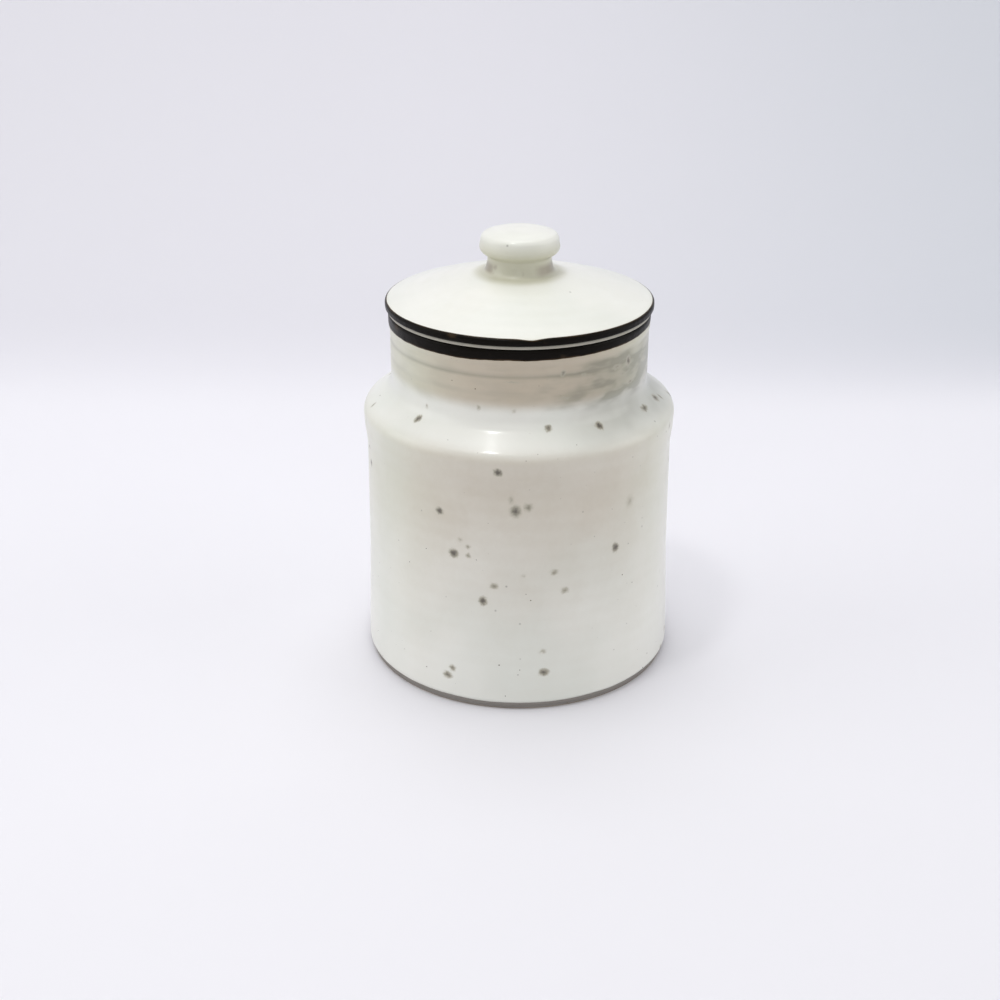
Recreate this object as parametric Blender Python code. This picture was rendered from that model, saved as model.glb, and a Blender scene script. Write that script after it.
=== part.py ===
"""Lidded stoneware butter crock: jar, domed lid, luted knob and the seal ring on the lid's plug.

Metres, +Z up. The origin is the centre of the foot ring's resting face, on the turning axis.
Every piece is turned: its half section is an outline of (radius, height) points, spun about Z.
"""

import math

import bmesh
import bpy

# Jar.
BASE_RADIUS = 0.0617        # outside, just above the heel
HEEL = 0.0046               # where the wall starts to round in towards the foot
WAIST_RADIUS = 0.0602       # halfway up the wall
WALL_TOP_RADIUS = 0.0597    # the wall draws in a little on its way up
WALL_TOP = 0.0904           # where it starts to swell into the shoulder
SHOULDER_RADIUS = 0.0609
SHOULDER_TOP = 0.1044       # where the slope towards the neck starts
SHOULDER_ROLL = 0.0075      # height of the roll under that
NECK_RADIUS = 0.0497
NECK_FOOT = 0.1130          # where the slope meets the neck
RIM_RADIUS = 0.0501
RIM_HEIGHT = 0.1420
RIM_BAND = 0.0050           # height of the slightly thicker rim
WALL = 0.0052
FLOOR_TOP = 0.0078
MOUTH_RADIUS = 0.0452       # the bore that the lid's plug drops into
MOUTH_FOOT = 0.1088

# Foot ring under the jar, unglazed.
FOOT_RADIUS = 0.0606
FOOT_INNER = 0.0515
FOOT_HEIGHT = 0.0020

# Lid. Its top is a shallow swept cone that ends in a flat seat under the knob.
LID_RADIUS = 0.0512
LID_EDGE = 0.0028           # thickness at the rim
LID_RISE = 0.0125           # from the edge to the point that the cone would have
LID_SWEEP = 1.35            # 1 is a straight cone, 2 a round dome
LID_WALL = 0.0050
PLUG_RADIUS = 0.0424
PLUG_WALL = 0.0049
PLUG_DEPTH = 0.0102
BEAD_WIDTH = 0.0009         # the bead at the plug's foot, which keeps the seal on
BEAD_HEIGHT = 0.0022

# Seal ring: a sleeve on the plug, a lip under the lid's edge and two fins in the mouth.
SEAL_LIP = 0.0012
SEAL_LIP_RADIUS = 0.0504    # it bulges a little past the jar's rim
SEAL_WALL = 0.0013
FIN_WIDTH = 0.0009
FIN_THICKNESS = 0.0010
FINS = 2

# Knob.
KNOB_RADIUS = 0.0155
KNOB_HEIGHT = 0.0158
KNOB_CAP = 0.0103           # from the cap's underside to its crown
KNOB_WAIST = 0.0122
KNOB_FOOT = 0.0134

GAP = 0.0002                # between flat faces that rest on each other
SLIP_GAP = 0.0003           # under the knob, where the slip joint is
SEGMENTS = 64
ARC_STEP = math.radians(24)  # the largest turn between two points of a rounded corner

# Heights that the lid's pieces share.
LID_UNDERSIDE = RIM_HEIGHT + GAP + SEAL_LIP + GAP
LID_TOP_EDGE = LID_UNDERSIDE + LID_EDGE
PLUG_BOTTOM = LID_UNDERSIDE - PLUG_DEPTH
BEAD_TOP = PLUG_BOTTOM + BEAD_HEIGHT

GLAZE = ("cream_glaze", (0.80, 0.78, 0.70), 0.18)
SILICONE = ("seal_silicone", (0.62, 0.60, 0.55), 0.45)


def clear_scene():
    for obj in list(bpy.data.objects):
        bpy.data.objects.remove(obj, do_unlink=True)


def material(name, colour, roughness):
    made = bpy.data.materials.get(name) or bpy.data.materials.new(name)
    made.use_nodes = True
    shader = made.node_tree.nodes["Principled BSDF"]
    shader.inputs["Base Color"].default_value = (*colour, 1.0)
    shader.inputs["Roughness"].default_value = roughness
    shader.inputs["Metallic"].default_value = 0.0
    return made


def rounded_corner(before, corner, after, radius):
    """The points of an arc of that radius, tangent to both sides of the corner."""
    ax, az = before[0] - corner[0], before[1] - corner[1]
    bx, bz = after[0] - corner[0], after[1] - corner[1]
    a_length, b_length = math.hypot(ax, az), math.hypot(bx, bz)
    ax, az, bx, bz = ax / a_length, az / a_length, bx / b_length, bz / b_length
    between = math.acos(max(-1.0, min(1.0, ax * bx + az * bz)))
    turn = math.pi - between
    if turn < math.radians(1):
        return [corner[:2]]
    reach = min(radius / math.tan(between / 2), 0.49 * a_length, 0.49 * b_length)
    radius = reach * math.tan(between / 2)
    to_centre = radius / math.sin(between / 2)
    mx, mz = ax + bx, az + bz
    middle = math.hypot(mx, mz)
    centre = (corner[0] + mx / middle * to_centre, corner[1] + mz / middle * to_centre)
    start = math.atan2(corner[1] + az * reach - centre[1], corner[0] + ax * reach - centre[0])
    sign = 1.0 if ax * bz - az * bx < 0 else -1.0
    steps = max(1, math.ceil(turn / ARC_STEP))
    return [
        (
            centre[0] + radius * math.cos(start + sign * turn * i / steps),
            centre[1] + radius * math.sin(start + sign * turn * i / steps),
        )
        for i in range(steps + 1)
    ]


def outline(corners, closed=False):
    """(radius, height) points through the corners. A third number rounds a corner to that radius."""
    points = []
    count = len(corners)
    for i, corner in enumerate(corners):
        is_end = not closed and i in (0, count - 1)
        if len(corner) == 2 or is_end:
            points.append(corner[:2])
        else:
            before, after = corners[i - 1], corners[(i + 1) % count]
            points += rounded_corner(before, corner, after, corner[2])
    return points


def turned(name, points, look, closed=False):
    """A solid of revolution about Z."""
    mesh = bpy.data.meshes.new(name)
    bm = bmesh.new()
    verts = [bm.verts.new((r, 0.0, z)) for r, z in points]
    edges = [bm.edges.new(pair) for pair in zip(verts, verts[1:])]
    if closed:
        edges.append(bm.edges.new((verts[-1], verts[0])))
    bmesh.ops.spin(
        bm,
        geom=verts + edges,
        cent=(0.0, 0.0, 0.0),
        axis=(0.0, 0.0, 1.0),
        angle=2 * math.pi,
        steps=SEGMENTS,
        use_merge=True,
    )
    bmesh.ops.remove_doubles(bm, verts=bm.verts, dist=1e-6)
    bmesh.ops.recalc_face_normals(bm, faces=bm.faces)
    bm.to_mesh(mesh)
    bm.free()
    mesh.shade_smooth()
    mesh.set_sharp_from_angle(angle=math.radians(35))
    mesh.materials.append(material(*look))
    obj = bpy.data.objects.new(name, mesh)
    bpy.context.scene.collection.objects.link(obj)
    return obj


def make_crock_body():
    """Jar: floor, wall, shoulder, neck and rim in one thickness of clay, on a turned foot ring."""
    inside = [
        (0.0, FLOOR_TOP),
        (BASE_RADIUS - WALL, FLOOR_TOP, 0.011),
        (WALL_TOP_RADIUS - WALL, WALL_TOP, 0.030),
        (SHOULDER_RADIUS - WALL - 0.0005, SHOULDER_TOP - 0.0035, 0.006),
        (MOUTH_RADIUS, MOUTH_FOOT, 0.004),
    ]
    rim = [
        (MOUTH_RADIUS, RIM_HEIGHT, 0.0009),
        (RIM_RADIUS, RIM_HEIGHT, 0.0014),
        (RIM_RADIUS, RIM_HEIGHT - RIM_BAND, 0.001),
        (NECK_RADIUS, RIM_HEIGHT - RIM_BAND - 0.0015, 0.001),
    ]
    outside = [
        (NECK_RADIUS, NECK_FOOT, 0.0060),
        (SHOULDER_RADIUS, SHOULDER_TOP, 0.0050),
        (SHOULDER_RADIUS - 0.0004, SHOULDER_TOP - SHOULDER_ROLL, 0.004),
        (WALL_TOP_RADIUS, WALL_TOP, 0.015),
        (WAIST_RADIUS, WALL_TOP / 2, 0.200),
        (BASE_RADIUS, HEEL, 0.0030),
        (BASE_RADIUS - 0.0005, FOOT_HEIGHT, 0.0005),
    ]
    foot = [
        (FOOT_RADIUS, FOOT_HEIGHT - 0.0001),
        (FOOT_RADIUS - 0.0001, 0.0, 0.0005),
        (FOOT_INNER, 0.0, 0.0005),
        (FOOT_INNER - 0.0012, FOOT_HEIGHT, 0.0006),
        (0.0, FOOT_HEIGHT),
    ]
    return turned("crock_body", outline(inside + rim + outside + foot), GLAZE)


def lid_top(radius):
    """Height of the lid's upper face."""
    reach = LID_RADIUS - 0.0009
    return LID_TOP_EDGE + LID_RISE * (1 - (radius / reach) ** LID_SWEEP)


KNOB_SEAT_RADIUS = KNOB_FOOT - 0.0005
KNOB_SEAT = lid_top(KNOB_SEAT_RADIUS)


def swept_cone(start, end, steps, drop=0.0):
    """Points along the lid's upper face, or that far under it."""
    radii = [start + (end - start) * i / steps for i in range(steps + 1)]
    return [(r, lid_top(r) - drop) for r in radii]


def make_lid():
    """Lid with a thin edge, a flat seat for the knob, and a hollow plug with a bead at its foot."""
    hollow = PLUG_RADIUS - PLUG_WALL
    top = swept_cone(KNOB_SEAT_RADIUS, LID_RADIUS - 0.0009, 10)
    under = swept_cone(hollow - 0.0034, KNOB_SEAT_RADIUS, 5, drop=LID_WALL)
    edge_and_plug = [
        top[-1],
        (LID_RADIUS, LID_TOP_EDGE - 0.0006, 0.0005),
        (LID_RADIUS, LID_UNDERSIDE, 0.0007),
        (PLUG_RADIUS, LID_UNDERSIDE),
        (PLUG_RADIUS, BEAD_TOP),
        (PLUG_RADIUS + BEAD_WIDTH, BEAD_TOP - 0.0006),
        (PLUG_RADIUS + BEAD_WIDTH, PLUG_BOTTOM, 0.0012),
        (hollow, PLUG_BOTTOM, 0.0012),
        (hollow - 0.0006, LID_UNDERSIDE + 0.0008, 0.003),
        under[0],
    ]
    seat = [(0.0, KNOB_SEAT)]
    ceiling = [(0.0, under[-1][1])]
    return turned("lid", seat + top + outline(edge_and_plug)[1:-1] + under + ceiling, GLAZE)


def make_knob():
    """Solid turned knob: slightly crowned cap with a soft edge over a short waist, flared at its foot."""
    foot = KNOB_SEAT + SLIP_GAP
    crown = foot + KNOB_HEIGHT
    underside = crown - KNOB_CAP
    corners = [
        (0.0, crown),
        (KNOB_RADIUS * 0.55, crown - 0.0004, 0.020),
        (KNOB_RADIUS - 0.0010, crown - 0.0022, 0.0026),
        (KNOB_RADIUS, underside + 0.0022, 0.0028),
        (KNOB_WAIST, underside, 0.0012),
        (KNOB_WAIST, foot + 0.0030, 0.0060),
        (KNOB_FOOT, foot),
        (0.0, foot),
    ]
    return turned("knob", outline(corners), GLAZE)


def make_seal_ring():
    """Soft ring on the plug. Its lip lies between the lid and the jar's rim."""
    inner = PLUG_RADIUS + GAP
    sleeve = inner + SEAL_WALL
    top = LID_UNDERSIDE - GAP
    lip_foot = top - SEAL_LIP
    bottom = BEAD_TOP + GAP
    corners = [
        (inner, top),
        (SEAL_LIP_RADIUS, top),
        (SEAL_LIP_RADIUS, lip_foot),
        (sleeve, lip_foot),
    ]
    fin_pitch = (lip_foot - bottom) / (FINS + 0.5)
    for n in range(FINS):
        fin_top = lip_foot - (n + 1) * fin_pitch + FIN_THICKNESS
        corners += [
            (sleeve, fin_top),
            (sleeve + FIN_WIDTH, fin_top - FIN_THICKNESS / 4),
            (sleeve + FIN_WIDTH, fin_top - FIN_THICKNESS * 3 / 4),
            (sleeve, fin_top - FIN_THICKNESS),
        ]
    corners += [(sleeve, bottom), (inner, bottom)]
    return turned("seal_ring", corners, SILICONE, closed=True)


clear_scene()
make_crock_body()
make_lid()
make_knob()
make_seal_ring()
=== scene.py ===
from math import atan2, ceil, cos, exp, pi, radians, sin, tan

import bmesh
import bpy
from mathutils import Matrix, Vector


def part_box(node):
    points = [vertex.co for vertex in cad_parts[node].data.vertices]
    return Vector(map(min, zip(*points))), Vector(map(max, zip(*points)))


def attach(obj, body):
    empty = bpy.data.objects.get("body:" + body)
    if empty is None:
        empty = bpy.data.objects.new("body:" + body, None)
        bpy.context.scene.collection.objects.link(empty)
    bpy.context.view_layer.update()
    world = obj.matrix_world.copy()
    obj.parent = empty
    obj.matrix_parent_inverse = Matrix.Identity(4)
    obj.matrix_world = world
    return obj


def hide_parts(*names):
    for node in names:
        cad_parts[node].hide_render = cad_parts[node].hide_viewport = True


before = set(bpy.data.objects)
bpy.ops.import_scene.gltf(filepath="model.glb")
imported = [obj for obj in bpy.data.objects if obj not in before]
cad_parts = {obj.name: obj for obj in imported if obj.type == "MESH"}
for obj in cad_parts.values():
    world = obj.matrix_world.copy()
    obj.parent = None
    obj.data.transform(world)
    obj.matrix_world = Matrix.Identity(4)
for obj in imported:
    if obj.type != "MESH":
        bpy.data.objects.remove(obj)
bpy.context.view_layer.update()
mm = 0.001

# The crock is drawn in millimetres as half sections, (radius, height), and the frame sets the sizes.
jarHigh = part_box("crock_body")[1]
lidLow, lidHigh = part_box("lid")
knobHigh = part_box("knob")[1]
sealLow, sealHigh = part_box("seal_ring")
rimHeight = jarHigh.z / mm
lidRadius = lidHigh.x / mm
knobSeat = lidHigh.z / mm


def roundOff(before, corner, after, radius, turnStep):
    # points of an arc that touches both sides of the corner
    toBefore, toAfter = before - corner, after - corner
    between = toBefore.angle(toAfter)
    if pi - between < radians(1):
        return [corner]
    reach = min(radius / tan(between / 2), 0.49 * toBefore.length, 0.49 * toAfter.length)
    radius = reach * tan(between / 2)
    toBefore.normalize()
    toAfter.normalize()
    centre = corner + (toBefore + toAfter).normalized() * radius / sin(between / 2)
    start, end = corner + toBefore * reach - centre, corner + toAfter * reach - centre
    first = atan2(start.y, start.x)
    swing = (atan2(end.y, end.x) - first + pi) % (2 * pi) - pi
    steps = max(1, ceil(abs(swing) / radians(turnStep)))
    turns = [first + swing * i / steps for i in range(steps + 1)]
    return [centre + radius * Vector((cos(turn), sin(turn))) for turn in turns]


def outlineOf(corners, step, turnStep=8, closed=False):
    # a third number rounds that corner; straight stretches get a point at least every step
    spots = [Vector(corner[:2]) for corner in corners]
    bends = []
    for i, corner in enumerate(corners):
        atEnd = not closed and i in (0, len(corners) - 1)
        if len(corner) == 2 or atEnd:
            bends.append(spots[i])
        else:
            bends += roundOff(spots[i - 1], spots[i], spots[(i + 1) % len(spots)], corner[2], turnStep)
    if closed:
        bends.append(bends[0])
    line = [bends[0]]
    for a, b in zip(bends, bends[1:]):
        if (b - a).length < 1e-6:
            continue
        pieces = max(1, ceil((b - a).length / step))
        line += [a.lerp(b, i / pieces) for i in range(1, pieces + 1)]
    return line[:-1] if closed else line


def outwardOf(line, closed=False):
    # unit normals that point away from the clay
    count = len(line)
    area = sum(a.x * b.y - b.x * a.y for a, b in zip(line, line[1:] + line[:1]))
    side = 1 if area > 0 else -1
    normals = []
    for i in range(count):
        before = line[i - 1] if closed or i else line[i]
        after = line[(i + 1) % count] if closed or i < count - 1 else line[i]
        along = (after - before).normalized()
        normals.append(Vector((along.y, -along.x)) * side)
    return normals


def lengthsAlong(line):
    total, found = 0.0, [0.0]
    for a, b in zip(line, line[1:]):
        total += (b - a).length
        found.append(total)
    return found


def smooth(value, low, high):
    t = min(1.0, max(0.0, (value - low) / (high - low)))
    return t * t * (3 - 2 * t)


def between(value, from0, from1, to0, to1):
    return smooth(value, from0, from1) * (1 - smooth(value, to0, to1))


def bell(value, middle, width):
    return exp(-(((value - middle) / width) ** 2))


class Wiring:
    # short ways to place and join nodes in one tree
    def __init__(self, tree):
        self.tree = tree

    def plug(self, socket, value):
        if isinstance(value, bpy.types.NodeSocket):
            self.tree.links.new(value, socket)
        else:
            socket.default_value = value

    def put(self, kind, inputs=None, **settings):
        made = self.tree.nodes.new(kind)
        for name, value in settings.items():
            setattr(made, name, value)
        for name, value in (inputs or {}).items():
            self.plug(made.inputs[name], value)
        return made

    def calc(self, operation, *values):
        made = self.put("ShaderNodeMath", operation=operation)
        for socket, value in zip(made.inputs, values):
            self.plug(socket, value)
        return made.outputs[0]

    def vector(self, operation, *values):
        made = self.put("ShaderNodeVectorMath", operation=operation)
        if operation == "SCALE":
            self.plug(made.inputs["Vector"], values[0])
            self.plug(made.inputs["Scale"], values[1])
        else:
            for socket, value in zip(made.inputs, values):
                self.plug(socket, value)
        return made.outputs["Value" if operation == "LENGTH" else "Vector"]

    def join(self, x=0.0, y=0.0, z=0.0):
        return self.put("ShaderNodeCombineXYZ", {"X": x, "Y": y, "Z": z}).outputs[0]

    def split(self, vector):
        return self.put("ShaderNodeSeparateXYZ", {"Vector": vector}).outputs

    def noise(self, place, scale, detail=2.0, roughness=0.5):
        values = {"Vector": place, "Scale": scale, "Detail": detail, "Roughness": roughness}
        return self.put("ShaderNodeTexNoise", values).outputs[0]

    def ease(self, value, low, high, toLow=0.0, toHigh=1.0):
        values = {"Value": value, "From Min": low, "From Max": high, "To Min": toLow, "To Max": toHigh}
        return self.put("ShaderNodeMapRange", values, interpolation_type="SMOOTHSTEP").outputs[0]

    def mix(self, share, a, b):
        made = self.put("ShaderNodeMix", data_type="RGBA")
        for name, value in (("Factor_Float", share), ("A_Color", a), ("B_Color", b)):
            socket = next(s for s in made.inputs if s.identifier == name)
            self.plug(socket, value if isinstance(value, (float, bpy.types.NodeSocket)) else (*value, 1.0))
        return next(s for s in made.outputs if s.identifier == "Result_Color")

    def add(self, a, b):
        return self.calc("ADD", a, b)

    def sub(self, a, b):
        return self.calc("SUBTRACT", a, b)

    def mul(self, a, b):
        return self.calc("MULTIPLY", a, b)

    def div(self, a, b):
        return self.calc("DIVIDE", a, b)

    def mulAdd(self, a, b, c):
        return self.calc("MULTIPLY_ADD", a, b, c)

    def facing(self, angle, towards):
        return self.calc("COSINE", self.sub(angle, towards))

    def angleOf(self, x, y):
        # degrees round from the front, in radians
        return self.calc("ARCTAN2", x, self.mul(y, -1.0))

    def girthOf(self, x, y):
        return self.calc("SQRT", self.add(self.mul(x, x), self.mul(y, y)))

    def named(self, name, kind="FLOAT"):
        return self.put("GeometryNodeInputNamedAttribute", {"Name": name}, data_type=kind).outputs[0]


def newTree(name, kind, inputs, outputs):
    tree = bpy.data.node_groups.new(name, kind)
    for label, socketType, *value in inputs:
        kindOfSocket = "NodeSocket" + socketType
        socket = tree.interface.new_socket(name=label, in_out="INPUT", socket_type=kindOfSocket)
        if value:
            socket.default_value = value[0]
    for label, socketType in outputs:
        tree.interface.new_socket(name=label, in_out="OUTPUT", socket_type="NodeSocket" + socketType)
    wires = Wiring(tree)
    return tree, wires, wires.put("NodeGroupInput").outputs, wires.put("NodeGroupOutput").inputs


def roundTheAxis(w, segments, rows, seed):
    # one column of points for each step round the axis, and the sine and cosine of its angle from the front
    grid = w.put("GeometryNodeMeshGrid", {"Vertices X": w.add(segments, 1.0), "Vertices Y": rows})
    index = w.put("GeometryNodeInputIndex").outputs[0]
    row = w.calc("MODULO", index, rows)
    column = w.calc("FLOOR", w.div(w.add(index, 0.5), rows))
    angle = w.mul(w.div(column, segments), 2 * pi)
    sideways, forwards = w.calc("SINE", angle), w.mul(w.calc("COSINE", angle), -1.0)
    return grid.outputs["Mesh"], row, angle, sideways, forwards, w.join(sideways, forwards, seed)


def turnAndFinish(w, grid, moved, sideways, forwards, kept, finish):
    # swings the section's points round the axis, keeps the named values and closes the skin
    radius, _, level = w.split(moved)
    turned = w.join(w.mul(radius, sideways), w.mul(radius, forwards), level)
    skin = w.put("GeometryNodeSetPosition", {"Geometry": grid, "Position": turned}).outputs[0]
    for name, value in kept.items():
        values = {"Geometry": skin, "Name": name, "Value": value}
        stored = w.put("GeometryNodeStoreNamedAttribute", values, data_type="FLOAT", domain="POINT")
        skin = stored.outputs[0]
    skin = w.put("GeometryNodeMergeByDistance", {"Geometry": skin, "Distance": 1e-6}).outputs[0]
    skin = w.put("GeometryNodeSetShadeSmooth", {"Geometry": skin}).outputs[0]
    return realize(w, skin, finish)


def realize(w, geometry, finish):
    geometry = w.put("GeometryNodeRealizeInstances", {"Geometry": geometry}).outputs[0]
    return w.put("GeometryNodeSetMaterial", {"Geometry": geometry, "Material": finish}).outputs[0]


def buildWheel():
    # turns a half section into a pot, with throwing rings, a slight wobble and wavering edges
    tree, w, given, result = newTree(
        "potterWheel",
        "GeometryNodeTree",
        [
            ("Section", "Geometry"), ("Segments", "Int", 192), ("Ring pitch", "Float", 0.005),
            ("Groove angle", "Float", 0.0), ("Waver", "Float", 0.0), ("Waver scale", "Float", 2.0),
            ("Seed", "Float", 0.0), ("Finish", "Material"),
        ],
        [("Pot", "Geometry")],
    )
    section = given["Section"]
    size = w.put("GeometryNodeAttributeDomainSize", {"Geometry": section}, component="MESH")
    rows = size.outputs["Point Count"]
    grid, row, angle, sideways, forwards, around = roundTheAxis(w, given["Segments"], rows, given["Seed"])

    def fromSection(trait, kind="FLOAT"):
        if trait == "position":
            source = w.put("GeometryNodeInputPosition").outputs[0]
        else:
            source = w.named(trait, kind)
        values = {"Geometry": section, "Value": source, "Index": row}
        return w.put("GeometryNodeSampleIndex", values, data_type=kind, domain="POINT").outputs[0]

    place = fromSection("position", "FLOAT_VECTOR")
    outward = fromSection("outward", "FLOAT_VECTOR")
    slide = fromSection("slide", "FLOAT_VECTOR")
    height = w.split(place)["Z"]

    # throwing rings climb like a screw and fade in and out
    phase = w.add(w.mul(w.div(height, given["Ring pitch"]), 2 * pi), angle)
    ringPlace = w.vector("ADD", around, w.join(0.0, 0.0, w.mul(height, 60.0)))
    ringFade = w.ease(w.noise(ringPlace, 1.3), 0.3, 0.7, 0.25, 1.0)
    ring = w.mul(w.calc("SINE", phase), ringFade)
    push = w.mul(fromSection("rings"), ring)

    # hand wobble, and a groove that is deepest at one side
    wobblePlace = w.vector("ADD", around, w.join(0.0, 0.0, w.mul(height, 18.0)))
    wobble = w.sub(w.noise(wobblePlace, 0.8, 1.0), 0.5)
    push = w.add(push, w.mul(w.mul(wobble, 2.0), fromSection("give")))
    facing = w.facing(angle, given["Groove angle"])
    grooveDepth = w.mul(fromSection("groove"), w.ease(facing, -0.6, 0.9))
    push = w.sub(push, grooveDepth)

    # wavering edges
    slow = w.sub(w.noise(around, given["Waver scale"], 3.0, 0.6), 0.5)
    waver = w.mul(w.mul(slow, 2.0), given["Waver"])

    moved = w.vector("ADD", place, w.vector("SCALE", outward, push))
    moved = w.vector("ADD", moved, w.vector("SCALE", slide, waver))
    kept = {"thin": fromSection("thin"), "crest": ring, "outside": fromSection("outside")}
    kept["cut"] = w.div(grooveDepth, mm)
    w.plug(result["Pot"], turnAndFinish(w, grid, moved, sideways, forwards, kept, given["Finish"]))
    return tree


def buildBrush():
    # a raised band of dark glaze that follows a stretch of a half section
    tree, w, given, result = newTree(
        "rimBrush",
        "GeometryNodeTree",
        [
            ("Section", "Geometry"), ("Segments", "Int", 192), ("Rows", "Int", 24),
            ("Start", "Float", 0.0), ("End", "Float", 0.01), ("Waver", "Float", 0.0),
            ("Thickness", "Float", 0.0001), ("Depth", "Float", 0.0003), ("Side", "Float", 1.0),
            ("Lean", "Float", 0.0), ("Lean angle", "Float", 0.0),
            ("Notch", "Float", 0.0), ("Notch angle", "Float", 0.0), ("Notch width", "Float", 0.1),
            ("Seed", "Float", 0.0), ("Finish", "Material"),
        ],
        [("Band", "Geometry")],
    )
    rows = w.mul(given["Rows"], 2.0)
    loop = w.add(rows, 1.0)
    grid, row, angle, sideways, forwards, around = roundTheAxis(w, given["Segments"], loop, given["Seed"])

    # out along the face and back behind it
    share = w.div(row, given["Rows"])
    across = w.sub(1.0, w.calc("ABSOLUTE", w.sub(1.0, share)))
    behind = w.calc("GREATER_THAN", share, 1.0)

    # the free edge, End, wavers with the brush
    strokes = w.sub(w.noise(around, 1.7, 1.0), 0.5)
    bristles = w.sub(w.noise(around, 9.0, 3.0, 0.6), 0.5)
    waver = w.add(w.mul(strokes, 1.6), w.mul(bristles, 0.9))
    end = w.add(given["End"], w.mul(waver, given["Waver"]))
    lean = w.facing(angle, given["Lean angle"])
    end = w.add(end, w.mul(lean, given["Lean"]))
    fromNotch = w.calc("WRAP", w.sub(angle, given["Notch angle"]), pi, -pi)
    off = w.div(fromNotch, given["Notch width"])
    bite = w.calc("EXPONENT", w.mul(w.mul(off, off), -1.0))
    end = w.sub(end, w.mul(bite, given["Notch"]))
    start = given["Start"]
    along = w.add(start, w.mul(across, w.sub(end, start)))

    curve = w.put("GeometryNodeMeshToCurve", {"Mesh": given["Section"]}).outputs[0]
    sample = w.put("GeometryNodeSampleCurve", {"Curves": curve, "Length": along}, mode="LENGTH")
    place, tangent = sample.outputs["Position"], sample.outputs["Tangent"]
    tangentX, _, tangentZ = w.split(tangent)
    outward = w.vector("SCALE", w.join(tangentZ, 0.0, w.mul(tangentX, -1.0)), given["Side"])
    middle = w.sub(w.mul(across, 2.0), 1.0)
    body = w.sub(1.0, w.calc("POWER", w.calc("ABSOLUTE", middle), 8.0))
    lift = w.mul(body, given["Thickness"])
    sink = w.mul(body, w.mul(given["Depth"], -1.0))
    offset = w.add(w.mul(lift, w.sub(1.0, behind)), w.mul(sink, behind))
    moved = w.vector("ADD", place, w.vector("SCALE", outward, offset))
    kept = {"toEdge": w.div(w.sub(end, along), mm)}    # how near the free edge is, in millimetres
    w.plug(result["Band"], turnAndFinish(w, grid, moved, sideways, forwards, kept, given["Finish"]))
    return tree


def buildGrainShaker():
    # iron grains that melted out of the clay and stand in the glaze
    tree, w, given, result = newTree(
        "grainShaker",
        "GeometryNodeTree",
        [
            ("Glaze", "Geometry"), ("Density", "Float", 1000.0), ("Smallest", "Float", 0.0001),
            ("Largest", "Float", 0.0004), ("Flatness", "Float", 0.3),
            ("Seed", "Int", 0), ("Finish", "Material"),
        ],
        [("Grains", "Geometry")],
    )
    values = {
        "Mesh": given["Glaze"],
        "Selection": w.calc("GREATER_THAN", w.named("outside"), 0.9),
        "Density": given["Density"],
        "Seed": given["Seed"],
    }
    points = w.put("GeometryNodeDistributePointsOnFaces", values, distribute_method="RANDOM")
    grain = w.put("GeometryNodeMeshIcoSphere", {"Radius": 1.0, "Subdivisions": 1}).outputs[0]

    def chance(low, high, seedShift):
        made = w.put("FunctionNodeRandomValue", data_type="FLOAT")
        sockets = {s.identifier: s for s in made.inputs}
        w.plug(sockets["Min_001"], low)
        w.plug(sockets["Max_001"], high)
        w.plug(sockets["Seed"], w.add(given["Seed"], float(seedShift)))
        return next(s for s in made.outputs if s.identifier == "Value_001")

    # most grains are small
    pick = w.calc("POWER", chance(0.0, 1.0, 1), 2.5)
    smallest = given["Smallest"]
    size = w.add(smallest, w.mul(pick, w.sub(given["Largest"], smallest)))
    stretch = chance(0.6, 1.0, 2)
    shape = w.join(size, w.mul(size, stretch), w.mul(size, given["Flatness"]))
    facingOut = points.outputs["Rotation"]
    spin = w.put("FunctionNodeRotateRotation", {"Rotation": facingOut}, rotation_space="LOCAL")
    twist = w.put("FunctionNodeAxisAngleToRotation", {"Angle": chance(0.0, 2 * pi, 3)})
    w.plug(spin.inputs["Rotate By"], twist.outputs[0])
    values = {"Points": points.outputs["Points"], "Instance": grain, "Rotation": spin.outputs[0]}
    grains = w.put("GeometryNodeInstanceOnPoints", {**values, "Scale": shape}).outputs[0]
    w.plug(result["Grains"], realize(w, grains, given["Finish"]))
    return tree


wheel, brush, grainShaker = buildWheel(), buildBrush(), buildGrainShaker()


def bake(name, source, tree, settings):
    # runs the tree on the source mesh and keeps the result as a plain piece
    holder = bpy.data.objects.new(name + "_source", source)
    bpy.context.scene.collection.objects.link(holder)
    modifier = holder.modifiers.new("made", "NODES")
    modifier.node_group = tree
    sockets = {item.name: item.identifier for item in tree.interface.items_tree if item.in_out == "INPUT"}
    for label, value in settings.items():
        modifier[sockets[label]] = value
    bpy.context.view_layer.update()
    graph = bpy.context.evaluated_depsgraph_get()
    mesh = bpy.data.meshes.new_from_object(holder.evaluated_get(graph))
    bpy.data.objects.remove(holder)
    shell = bmesh.new()
    shell.from_mesh(mesh)
    bmesh.ops.recalc_face_normals(shell, faces=shell.faces)
    shell.to_mesh(mesh)
    shell.free()
    mesh.name = name
    piece = bpy.data.objects.new(name, mesh)
    bpy.context.scene.collection.objects.link(piece)
    return piece


def sectionMesh(name, line, traits=None, closed=False):
    rows = line + line[:1] if closed else line
    mesh = bpy.data.meshes.new(name + "_section")
    edges = [(i, i + 1) for i in range(len(rows) - 1)]
    mesh.from_pydata([(p.x * mm, 0, p.y * mm) for p in rows], edges, [])
    for trait, values in (traits or {}).items():
        values = values + values[:1] if closed else values
        if isinstance(values[0], Vector):
            layer = mesh.attributes.new(trait, "FLOAT_VECTOR", "POINT")
            layer.data.foreach_set("vector", [n for v in values for n in (v.x, 0.0, v.y)])
        else:
            layer = mesh.attributes.new(trait, "FLOAT", "POINT")
            layer.data.foreach_set("value", values)
    return mesh


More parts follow.
